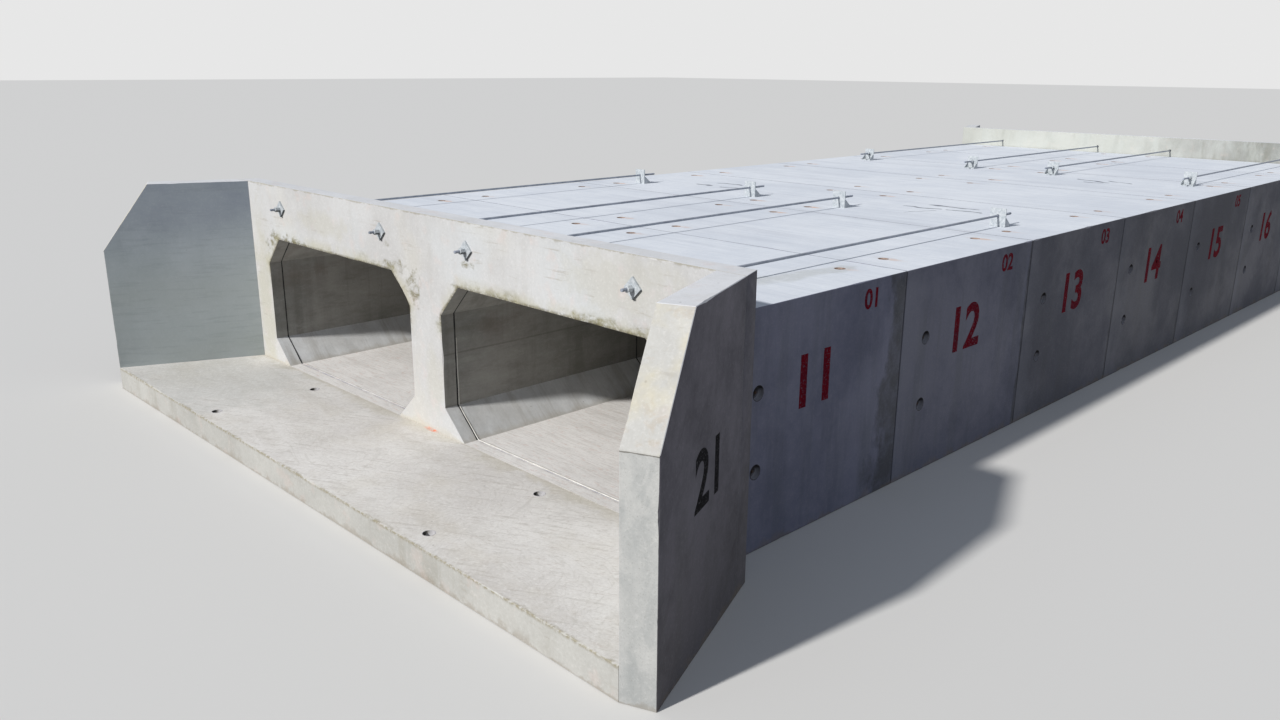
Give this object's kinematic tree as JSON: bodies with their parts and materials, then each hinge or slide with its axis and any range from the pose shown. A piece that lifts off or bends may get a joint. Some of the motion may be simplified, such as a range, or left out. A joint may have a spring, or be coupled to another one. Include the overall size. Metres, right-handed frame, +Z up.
{
  "type": "twin-cell precast concrete box culvert",
  "caption": "Precast concrete box culvert with two haunched cells, splayed wing walls, aprons, parapets and tie rods over its roof, for carrying a stream under a road.",
  "frame": {"origin": "middle of the culvert in plan, at its underside", "axes": "+Z up, +Y along the cells from inlet to outlet, +X across the cells"},
  "size_m": [8.9634, 20.2064, 2.36],
  "materials": {
    "unit_concrete": "smooth form-faced precast concrete, pale blue-grey roof",
    "end_concrete": "form-faced precast concrete, cream-grey with olive stains",
    "joint_rubber": "matt black butyl and foam",
    "galvanised_steel": "hot-dip galvanised",
    "rod_steel": "dull threaded bar"
  },
  "bodies": {
    "root": {"box_unit_1": "unit_concrete", "box_unit_2": "unit_concrete", "box_unit_3": "unit_concrete", "box_unit_4": "unit_concrete", "box_unit_5": "unit_concrete", "box_unit_6": "unit_concrete", "box_unit_7": "unit_concrete", "inlet_headwall": "end_concrete", "inlet_wing_right": "end_concrete", "inlet_wing_left": "end_concrete", "inlet_apron": "end_concrete", "outlet_headwall": "end_concrete", "outlet_wing_right": "end_concrete", "outlet_wing_left": "end_concrete", "outlet_apron": "end_concrete", "joint_gaskets": "joint_rubber", "inlet_rod_nuts": "galvanised_steel", "inlet_anchor_bolts": "galvanised_steel", "inlet_tie_rod_1": "rod_steel", "inlet_bearing_plate_1": "galvanised_steel", "inlet_roof_bracket_1": "galvanised_steel", "inlet_tie_rod_2": "rod_steel", "inlet_bearing_plate_2": "galvanised_steel", "inlet_roof_bracket_2": "galvanised_steel", "inlet_tie_rod_3": "rod_steel", "inlet_bearing_plate_3": "galvanised_steel", "inlet_roof_bracket_3": "galvanised_steel", "inlet_tie_rod_4": "rod_steel", "inlet_bearing_plate_4": "galvanised_steel", "inlet_roof_bracket_4": "galvanised_steel", "outlet_rod_nuts": "galvanised_steel", "outlet_anchor_bolts": "galvanised_steel", "outlet_tie_rod_1": "rod_steel", "outlet_bearing_plate_1": "galvanised_steel", "outlet_roof_bracket_1": "galvanised_steel", "outlet_tie_rod_2": "rod_steel", "outlet_bearing_plate_2": "galvanised_steel", "outlet_roof_bracket_2": "galvanised_steel", "outlet_tie_rod_3": "rod_steel", "outlet_bearing_plate_3": "galvanised_steel", "outlet_roof_bracket_3": "galvanised_steel", "outlet_tie_rod_4": "rod_steel", "outlet_bearing_plate_4": "galvanised_steel", "outlet_roof_bracket_4": "galvanised_steel"}
  },
  "joints": []
}
